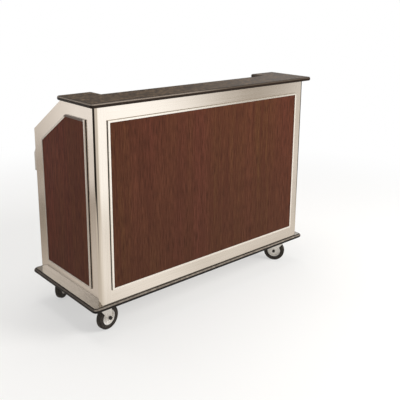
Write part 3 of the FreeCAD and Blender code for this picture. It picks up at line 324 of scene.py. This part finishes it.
# The left end is a little redder and paler to match the photograph, painted light that lifts the shade on
# that end. Real boards would be alike.
PLAIN_TONES = ("#643628", "#5f3c23", "#542d1f", "#3b2015")
LEFT_LIT_TONES = ("#78382a", "#6c3e26", "#5c2d20", "#432016")
front_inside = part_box("front_panel")[1].y
end_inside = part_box("end_panel_left")[1].x
for word, inside, axis, sign, pore_mm, tones in (
        ("front", front_inside, "Y", -1, 2.6, PLAIN_TONES),
        ("left", end_inside, "X", -1, 3.2, LEFT_LIT_TONES),
        ("right", end_inside, "X", 1, 3.2, PLAIN_TONES)):
    board = wood_laminate("wood_laminate_" + word, -inside + SKIN, axis, sign, pore_mm, *tones)
    paint(board, "front_panel" if word == "front" else "end_panel_" + word)

# Bright trims round the boards.
# Polished stainless angle, mitred at the corners and proud of the frame. The
# legs on the ends are tinted darker as a painted reflection of the darker room,
# and the ends' top legs darkest.

SLOPE_FOOT = 916 * MM
trim_steel = brushed_steel("polished_stainless_trim", "#fbf4e9", "#f0e8db", "Z", 0.12, 2, 80)
tree = trim_steel.node_tree
shader = next(node for node in tree.nodes if node.type == "BSDF_PRINCIPLED")
place = add_node(tree, "ShaderNodeTexCoord", {}).outputs["Object"]
spot = add_node(tree, "ShaderNodeSeparateXYZ", {}, {"Vector": place})
end_low, end_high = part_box("end_panel_trims")
top_leg, on_end, past_front_leg, above_foot = (
    add_node(tree, "ShaderNodeMapRange", {"From Min": start, "From Max": full}, {
        "Value": spot.outputs[axis]}).outputs[0]
    for axis, start, full in (
        ("Z", end_high.z - 12 * MM, end_high.z - 11 * MM), ("Y", end_low.y - 3 * MM, end_low.y - 2 * MM),
        ("Y", end_low.y + 10 * MM, end_low.y + 12 * MM), ("Z", SLOPE_FOOT - 8 * MM, SLOPE_FOOT)))
on_board = add_node(tree, "ShaderNodeMath", {"operation": "SUBTRACT", 0: 1}, {1: on_end}).outputs[0]
sloped_leg, end_top_leg, front_top_leg = (
    add_node(tree, "ShaderNodeMath", {"operation": "MULTIPLY"}, {0: one, 1: other}).outputs[0]
    for one, other in ((above_foot, past_front_leg), (top_leg, past_front_leg), (top_leg, on_board)))
tone = shader.inputs["Base Color"].links[0].from_socket
# Painted reflection: the legs on the ends, their sloped legs and, darkest, their top legs are tinted darker.
for leg, colour in ((on_end, "#d6ccc0"), (sloped_leg, "#d8cec2"), (end_top_leg, "#5c4c41")):
    tone = add_node(
        tree, "ShaderNodeMix", {**COLOURS, MIX_B: linear(colour)}, {0: leg, MIX_A: tone}).outputs[MIX_OUT]
sheen = add_node(tree, "ShaderNodeMapRange", {"To Min": 0.55, "To Max": 0.8}, {"Value": front_top_leg})
feed(tree, shader, {"Base Color": tone, "Metallic": sheen.outputs[0]})
paint(trim_steel, "front_panel_trim", "end_panel_trims")

# Dark beads beside the upright trims.
# A black vinyl bead stands against the outer side of each upright trim, a dark
# part put there as painted shade, so that a thin dark line runs beside it.

# The beads are dark parts standing in for the painted shade line beside each upright trim.
shade_line_vinyl = mottled("extruded_shade_line_vinyl", 6, 2, "#15110e", "#241e1a", 0.45, 0.6, specular=0.25)
BEAD, BEAD_HEIGHT, BEAD_GAP = 1.6 * MM, 3 * MM, 0.05 * MM
BEAD_ROUND, BEAD_FACETS, TOUCHING = 0.8 * BEAD, 4, 1e-6


def shade_line_bead(name, low, high, bulge_axis):
    """A bead in the box low to high, with its outer long edges rounded."""
    bpy.ops.object.select_all(action="DESELECT")
    bpy.ops.mesh.primitive_cube_add(size=1, location=(Vector(low) + Vector(high)) / 2)
    bead = bpy.context.object
    bead.name = name
    bead.scale = Vector(high) - Vector(low)
    bpy.ops.object.transform_apply(location=True, scale=True)
    crown = max(bulge_axis.dot(vertex.co) for vertex in bead.data.vertices)
    for edge in bead.data.edges:
        ends = [bead.data.vertices[v].co for v in edge.vertices]
        upright = abs(ends[0].z - ends[1].z) > BEAD_HEIGHT
        outer = all(abs(bulge_axis.dot(end) - crown) < TOUCHING for end in ends)
        edge.select = upright and outer
    bpy.ops.object.mode_set(mode="EDIT")
    bpy.ops.mesh.bevel(offset=BEAD_ROUND, segments=BEAD_FACETS)
    bpy.ops.object.mode_set(mode="OBJECT")
    bpy.ops.object.shade_smooth_by_angle()
    bead.data.materials.append(shade_line_vinyl)
    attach(bead, "cabinet")


ring_low, ring_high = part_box("front_panel_trim")
frame_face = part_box("front_frame")[0].y
for side in (-1, 1):
    near_x = side * (ring_high.x + BEAD_GAP)
    far_x = side * (ring_high.x + BEAD_GAP + BEAD)
    shade_line_bead(
        "front_shade_line_left" if side < 0 else "front_shade_line_right",
        (min(near_x, far_x), frame_face - BEAD_HEIGHT, ring_low.z),
        (max(near_x, far_x), frame_face, ring_high.z), Vector((0, -1, 0)))

end_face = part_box("end_frame_left")[0].x
for side in (-1, 1):
    face_x, proud_x = side * -end_face, side * (-end_face + BEAD_HEIGHT)
    word = "left" if side < 0 else "right"
    for place_word, near_y, far_y, top in (
            ("front", end_low.y - BEAD_GAP - BEAD, end_low.y - BEAD_GAP, end_high.z),
            ("back", end_high.y + BEAD_GAP, end_high.y + BEAD_GAP + BEAD, SLOPE_FOOT)):
        shade_line_bead(
            f"end_shade_line_{word}_{place_word}", (min(face_x, proud_x), near_y, end_low.z),
            (max(face_x, proud_x), far_y, top), Vector((side, 0, 0)))

# Bar top.
# Dark brown high-pressure laminate with a satin, lightly textured face and a
# pale fleck. Such flecks are a millimetre or two, drawn coarser here to show.

top_laminate, tree, shader, place = new_finish("speckled_top_laminate")
fleck = add_node(
    tree, "ShaderNodeTexNoise", {"Scale": 1 / (20 * MM), "Detail": 5, "Roughness": 0.8},
    {"Vector": place}).outputs[0]
cloud = add_node(tree, "ShaderNodeTexNoise", {"Scale": 7, "Detail": 3}, {"Vector": place}).outputs[0]
clouded, flecked, gloss = (
    add_node(tree, "ShaderNodeMapRange", span, {"Value": pattern}).outputs[0]
    for pattern, span in (
        (cloud, MID_NOISE), (fleck, {"From Min": 0.46, "From Max": 0.62}),
        (fleck, {**MOST_NOISE, "To Min": 0.36, "To Max": 0.46})))
ground = add_node(
    tree, "ShaderNodeMix", {**COLOURS, MIX_A: linear("#1f140d"), MIX_B: linear("#281b12")}, {0: clouded})
tone = add_node(
    tree, "ShaderNodeMix", {**COLOURS, MIX_B: linear("#64523f")},
    {0: flecked, MIX_A: ground.outputs[MIX_OUT]})
bump = add_node(tree, "ShaderNodeBump", {"Strength": 0.5, "Distance": 0.4 * MM}, {"Height": fleck})
feed(tree, shader, {"Base Color": tone.outputs[MIX_OUT], "Roughness": gloss, "Normal": bump.outputs[0]})
shader.inputs["Specular IOR Level"].default_value = 0.2
paint(top_laminate, "bar_top")

# Bullnose round the bar top.
# Extruded vinyl moulding, dark brown. Its rounded upper edge is painted paler as
# a painted highlight, strongest on the left half, and its lower half stays dark.

PALE_UNTIL, DULL_FROM = -0.25, 0.15
edge_vinyl, tree, shader, place = new_finish("vinyl_bullnose")
spot = add_node(tree, "ShaderNodeSeparateXYZ", {}, {"Vector": place})
ripple = add_node(tree, "ShaderNodeTexNoise", {"Scale": 40, "Detail": 2}, {"Vector": place}).outputs[0]
rightward = add_node(
    tree, "ShaderNodeMapRange", {**FADE, "From Min": PALE_UNTIL, "From Max": DULL_FROM},
    {"Value": spot.outputs["X"]}).outputs[0]
base_tone, highlight_tone = (
    add_node(
        tree, "ShaderNodeMix", {**COLOURS, MIX_A: linear(first), MIX_B: linear(second)},
        {0: factor}).outputs[MIX_OUT]
    for factor, first, second in ((ripple, "#21170f", "#2c2018"), (rightward, "#85796e", "#4f453b")))
# Painted highlight along the upper rounding, palest on the left half.
crown = highlight_band(tree, spot.outputs["Z"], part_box("bar_top_edge")[1].z, 9, 6, 3.5, 1)
tone = add_node(tree, "ShaderNodeMix", COLOURS, {0: crown, MIX_A: base_tone, MIX_B: highlight_tone})
gloss = add_node(
    tree, "ShaderNodeMapRange", {**MOST_NOISE, "To Min": 0.3, "To Max": 0.42}, {"Value": ripple})
feed(tree, shader, {"Base Color": tone.outputs[MIX_OUT], "Roughness": gloss.outputs[0]})
shader.inputs["Specular IOR Level"].default_value = 0.15
paint(edge_vinyl, "bar_top_edge")

# Backsplash and end liners.
# Satin stainless sheet, lining the walls between the worktop and the bar top.
# Its grain runs along each wall and spreads the highlights sideways.

splash_steel = brushed_steel("satin_stainless_backsplash", "#f8f1e8", "#e9e2d7", "X", 0.13, metallic=0.9)
liner_steel = brushed_steel("satin_stainless_liner", "#f0e9df", "#e0d8cd", "Y", 0.15)
paint(splash_steel, "backsplash")
paint(liner_steel, "end_liner_left", "end_liner_right")

# Worktop and ice bin.
# Folded stainless with a satin grain along the bar. The bin is drawn from one
# sheet, wrapped in foam and cased in thin stainless.

worktop_steel = brushed_steel("satin_stainless_worktop", "#f6efe6", "#e6dfd5", "X", 0.15, metallic=0.92)
bin_steel = brushed_steel("satin_stainless_bin", "#f2ebe1", "#e2dbd0", "Z", 0.16)
paint(worktop_steel, "worktop")
paint(bin_steel, "ice_bin_liner", "ice_bin_casing")

foam, tree, shader, place = new_finish("rigid_foam")
cells = add_node(tree, "ShaderNodeTexVoronoi", {"Scale": 1 / (2 * MM)}, {"Vector": place}).outputs[0]
tone = add_node(
    tree, "ShaderNodeMix", {**COLOURS, MIX_A: linear("#e6dcc2"), MIX_B: linear("#d6c9a8")}, {0: cells})
feed(tree, shader, {"Base Color": tone.outputs[MIX_OUT]})
shader.inputs["Roughness"].default_value = 0.9
paint(foam, "ice_bin_insulation")

# Drain and its valve.
# The strainer and tail are turned stainless. The valve body is cast brass
# with a fine sand texture, and its lever is a stainless strip.

drain_steel = brushed_steel("turned_stainless_drain", "#d8d2c8", "#c6bfb4", "Z", 0.22, 2, 30)
brass = mottled("cast_brass", 1.5, 3, "#9c7a3f", "#c09a56", 0.3, 0.48, metallic=1, relief=0.4)
paint(drain_steel, "drain_fitting", "drain_valve_lever")
paint(brass, "drain_valve_body")

# Apron and speed rails.
# Folded satin stainless with the grain along the bar, hung below the worktop's
# back edge; the rails hook on two stainless bars.

apron_steel = brushed_steel("satin_stainless_apron", "#fcf6ee", "#f0e9df", "X", 0.2, metallic=0.86)
rail_steel = brushed_steel("satin_stainless_rail", "#fdf7ef", "#f2ebe1", "X", 0.18, metallic=0.8)
paint(apron_steel, "apron")
paint(rail_steel, "speed_rail_left", "speed_rail_right", "speed_rail_hangers")

# Casters.
# Pressed, bright zinc-plated forks and plates, cast aluminium wheel cores,
# blackened axle bolts, and dark grey-brown rubber tyres with a dusty tread.

zinc = mottled("bright_zinc_plate", 8, 3, "#e6e2db", "#f8f5ef", 0.26, 0.42, metallic=1)
core = mottled("cast_aluminium_core", 2, 3, "#efebe4", "#fbf8f4", 0.34, 0.5, metallic=0.3)
rubber = mottled(
    "caster_tyre_rubber", 10, 5, "#27221e", "#4a443d", 0.5, 0.75,
    specular=0.2, relief=0.3, tone_from=(0.4, 0.7))
black_oxide = mottled("blackened_axle_bolt", 3, 3, "#15120f", "#2e2923", 0.3, 0.5, specular=0.3)

paint(zinc, "caster_bolts")
for corner in ("front_left", "front_right", "back_left", "back_right"):
    paint(zinc, "caster_plate_" + corner, "caster_fork_" + corner)
    paint(black_oxide, "caster_axle_" + corner)
    paint(core, "caster_wheel_" + corner)
    paint(rubber, "caster_tyre_" + corner)

# Studio.
# A pale floor that runs out into a white surround, one large soft lamp to the
# customers' right, a weaker one to the left and one above.

FLOOR_HALF, PAPER_GLOW = 20, 0.5
GLOW_FROM, GLOW_FULL = 1.3, 3.6
SKY_ON_OBJECT, LAMP_TARGET = 0.45, (0, 0, 0.6)


def seen_share(tree):
    """1 for a ray from the camera, or one mirrored or passed on by the object, and 0 for light on it."""
    rays = add_node(tree, "ShaderNodeLightPath", {}).outputs
    mirrored = add_node(tree, "ShaderNodeMath", {"operation": "MAXIMUM"}, {
        0: rays["Is Camera Ray"], 1: rays["Is Glossy Ray"]}).outputs[0]
    return add_node(tree, "ShaderNodeMath", {"operation": "MAXIMUM"}, {
        0: mirrored, 1: rays["Is Transmission Ray"]}).outputs[0]


def show(tree, socket):
    """Puts a socket on the material's output, in place of its shader."""
    output = next(node for node in tree.nodes if node.type == "OUTPUT_MATERIAL")
    tree.links.new(socket, output.inputs["Surface"])


bpy.ops.object.select_all(action="DESELECT")
bpy.ops.mesh.primitive_plane_add(size=2 * FLOOR_HALF, location=(0, 0, 0))
floor = bpy.context.object
floor.name = "studio_floor"
floor_paper, tree, shader, place = new_finish("studio_paper")
shader.inputs["Base Color"].default_value = linear("#eeece8")
shader.inputs["Roughness"].default_value = 0.9
shader.inputs["Specular IOR Level"].default_value = 0
away = add_node(tree, "ShaderNodeVectorMath", {"operation": "LENGTH"}, {0: place}).outputs["Value"]
fade = add_node(
    tree, "ShaderNodeMapRange", {
        **FADE, "From Min": GLOW_FROM, "From Max": GLOW_FULL, "To Min": PAPER_GLOW, "To Max": 1},
    {"Value": away}).outputs[0]
glow = add_node(tree, "ShaderNodeEmission", {"Color": (1, 1, 1, 1), "Strength": 1})
share = add_node(tree, "ShaderNodeMath", {"operation": "MULTIPLY"}, {0: seen_share(tree), 1: fade})
mixed = add_node(tree, "ShaderNodeMixShader", {}, {
    0: share.outputs[0], 1: shader.outputs[0], 2: glow.outputs[0]})
show(tree, mixed.outputs[0])
floor.data.materials.append(floor_paper)

world = bpy.data.worlds.new("studio_surround")
bpy.context.scene.world = world
world.use_nodes = True
tree = world.node_tree
tree.nodes.clear()
strength = add_node(
    tree, "ShaderNodeMapRange", {"To Min": SKY_ON_OBJECT, "To Max": 1}, {"Value": seen_share(tree)})
sky = add_node(tree, "ShaderNodeBackground", {"Color": (1, 1, 1, 1)}, {"Strength": strength.outputs[0]})
add_node(tree, "ShaderNodeOutputWorld", {}, {"Surface": sky.outputs[0]})


def soft_lamp(name, spot, size, power):
    """A square area lamp turned to the bar, unseen in the steel, which mirrors the surround instead."""
    lamp = bpy.data.objects.new(name, bpy.data.lights.new(name, "AREA"))
    lamp.data.shape = "SQUARE"
    lamp.data.size = size
    lamp.data.energy = power
    lamp.location = spot
    lamp.rotation_euler = (Vector(LAMP_TARGET) - Vector(spot)).to_track_quat("-Z", "Y").to_euler()
    lamp.visible_glossy = False
    bpy.context.scene.collection.objects.link(lamp)


soft_lamp("key_lamp", (2.4, -3.6, 2.9), 2.2, 190)
soft_lamp("fill_lamp", (-4.2, -0.6, 1.9), 2.4, 18)
soft_lamp("top_lamp", (0, 0.6, 4.2), 2.6, 70)

# Reflection surround.
# A round booth of card, out of the picture and seen only in the metal:
# white in front, grey beside the bar, and black cloth past the paper's edges.

TRAY_RADIUS, TRAY_WALL, TRAY_LIFT, TRAY_SIDES = 6, 4.5, 0.003, 128
GREEN_FADE, BLUE_FADE, DARKEST_TINTED = 0.1, 0.22, 0.35

tray, tree, shader, place = new_finish("surround_card")
spot = add_node(tree, "ShaderNodeSeparateXYZ", {}, {"Vector": place})
level = add_node(
    tree, "ShaderNodeCombineXYZ", {}, {"X": spot.outputs["X"], "Y": spot.outputs["Y"]}).outputs[0]
out = add_node(tree, "ShaderNodeVectorMath", {"operation": "LENGTH"}, {0: level}).outputs["Value"]
turn = add_node(
    tree, "ShaderNodeTexGradient", {"gradient_type": "RADIAL"}, {"Vector": level}).outputs["Fac"]


def grey_ring(stops):
    """Greys at compass angles in degrees from +X, blended between. The darker ones are warmer."""
    ramp = add_node(tree, "ShaderNodeValToRGB", {}, {"Fac": turn})
    marks = ramp.color_ramp.elements
    while len(marks) < len(stops):
        marks.new(0.5)
    for index, (angle, grey) in enumerate(stops):
        marks[index].position = 0.5 + angle / 360
        lit = max(grey, DARKEST_TINTED)
        marks[index].color = (grey, grey * lit ** GREEN_FADE, grey * lit ** BLUE_FADE, 1)
    return ramp.outputs["Color"]


near_ring = grey_ring([
    (-180, 0.56), (-150, 0.58), (-125, 0.76), (-110, 0.82), (-92, 0.8), (-70, 0.66), (-55, 0.68), (-30, 0.62),
    (0, 0.7), (60, 0.85), (90, 1), (115, 0.95), (123, 0.26), (132, 0.28), (138, 0.36), (146, 0.47),
    (158, 0.56), (180, 0.56)])
middle_ring = grey_ring([
    (-180, 0.02), (-160, 0.03), (-152, 0.58), (-95, 0.62), (-88, 1.06), (-50, 1), (-41, 0.76), (-34, 0.7),
    (-31, 0.08), (18, 0.08), (30, 0.7), (60, 0.8), (90, 1.1), (112, 1.1), (121, 0.3), (127, 0.36),
    (133, 0.82), (140, 0.72), (144, 0.01), (180, 0.02)])
far_ring = grey_ring([
    (-180, 0.02), (-160, 0.03), (-152, 0.62), (-88, 0.66), (-80, 1.12), (-57, 1.12), (-50, 0.74), (-46, 0.36),
    (-41.5, 0.35), (-38.5, 0.74), (-34, 0.8), (-31, 0.08), (18, 0.08), (30, 0.7), (60, 0.6), (90, 0.8),
    (108, 0.6), (119, 0.38), (125, 0.86), (128, 1.04), (136, 1.04), (139.5, 0.01), (180, 0.02)])
wall_ring = grey_ring([
    (-180, 0.5), (-160, 0.5), (-148, 0.3), (-137, 0.3), (-128, 0.5), (-118, 0.72), (-100, 0.85), (-70, 0.7),
    (-60, 0.3), (-30, 0.3), (-10, 0.55), (20, 0.7), (36, 0.75), (44, 0.5), (52, 0.22), (70, 0.3), (98, 0.5),
    (112, 0.6), (118, 0.75), (122, 1.2), (127.5, 1.2), (129, 0.1), (142, 0.08), (152, 0.5), (180, 0.5)])

# The near ring gives way to the middle one sooner in front of the bar than behind it.
behind, before, past_middle, up_the_wall = (
    add_node(tree, "ShaderNodeMapRange", {**FADE, "From Min": start, "From Max": full}, {
        "Value": coordinate}).outputs[0]
    for coordinate, start, full in (
        (out, 2.1, 3.0), (out, 1.4, 2.5), (out, 3.4, 5.6), (spot.outputs["Z"], 0.4, 0.8)))
in_front = add_node(
    tree, "ShaderNodeMapRange", {"From Min": -0.5, "From Max": -0.2, "To Min": 1, "To Max": 0},
    {"Value": spot.outputs["Y"]}).outputs[0]
past_near = add_node(tree, "ShaderNodeMix", {}, {0: in_front, 2: behind, 3: before}).outputs[0]
shade = near_ring
for factor, ring in ((past_near, middle_ring), (past_middle, far_ring), (up_the_wall, wall_ring)):
    shade = add_node(tree, "ShaderNodeMix", COLOURS, {0: factor, MIX_A: shade, MIX_B: ring}).outputs[MIX_OUT]
overhead = add_node(
    tree, "ShaderNodeMapRange", {"From Min": TRAY_WALL - 0.1, "From Max": TRAY_WALL},
    {"Value": spot.outputs["Z"]}).outputs[0]
lidded = add_node(
    tree, "ShaderNodeMix", {**COLOURS, MIX_B: linear("#dcd8d1")}, {0: overhead, MIX_A: shade})
card = add_node(tree, "ShaderNodeEmission", {"Strength": 1}, {"Color": lidded.outputs[MIX_OUT]})
show(tree, card.outputs[0])

bpy.ops.object.select_all(action="DESELECT")
bpy.ops.mesh.primitive_cylinder_add(
    vertices=TRAY_SIDES, radius=TRAY_RADIUS, depth=TRAY_WALL, location=(0, 0, TRAY_WALL / 2 + TRAY_LIFT))
surround = bpy.context.object
surround.name = "reflection_surround"
bpy.ops.object.transform_apply(location=True)
bpy.ops.object.mode_set(mode="EDIT")
bpy.ops.mesh.select_all(action="SELECT")
bpy.ops.mesh.flip_normals()
bpy.ops.object.mode_set(mode="OBJECT")
surround.data.materials.append(tray)
surround.visible_camera = False
surround.visible_diffuse = False
surround.visible_shadow = False
surround.visible_transmission = False

# Camera.
# Its place, turn and focal length, the last in pixels, were fitted to edges of
# the photograph. The frame is shifted so that the object sits as high in it.

IMAGE, FOCAL, CENTRE_ROW = 400, 616.80, 150
CAMERA_PLACE = (-2.1221, -2.6377, 1.6294)
AZIMUTH, PITCH, ROLL = (math.radians(a) for a in (-41.32, 14.14, 0.43))
lens = bpy.data.cameras.new("photo_camera")
camera = bpy.data.objects.new("photo_camera", lens)
bpy.context.scene.collection.objects.link(camera)
ahead = Vector((
    -math.sin(AZIMUTH) * math.cos(PITCH), math.cos(AZIMUTH) * math.cos(PITCH), -math.sin(PITCH)))
level_right = Vector((math.cos(AZIMUTH), math.sin(AZIMUTH), 0))
level_up = level_right.cross(ahead)
right = math.cos(ROLL) * level_right + math.sin(ROLL) * level_up
up = math.cos(ROLL) * level_up - math.sin(ROLL) * level_right
turned = Matrix((right, up, -ahead)).transposed().to_4x4()
camera.matrix_world = Matrix.Translation(CAMERA_PLACE) @ turned
lens.sensor_width = 36
lens.lens = FOCAL / IMAGE * lens.sensor_width
lens.shift_y = (CENTRE_ROW - IMAGE / 2) / IMAGE
bpy.context.scene.camera = camera
bpy.context.scene.view_settings.view_transform = "Standard"
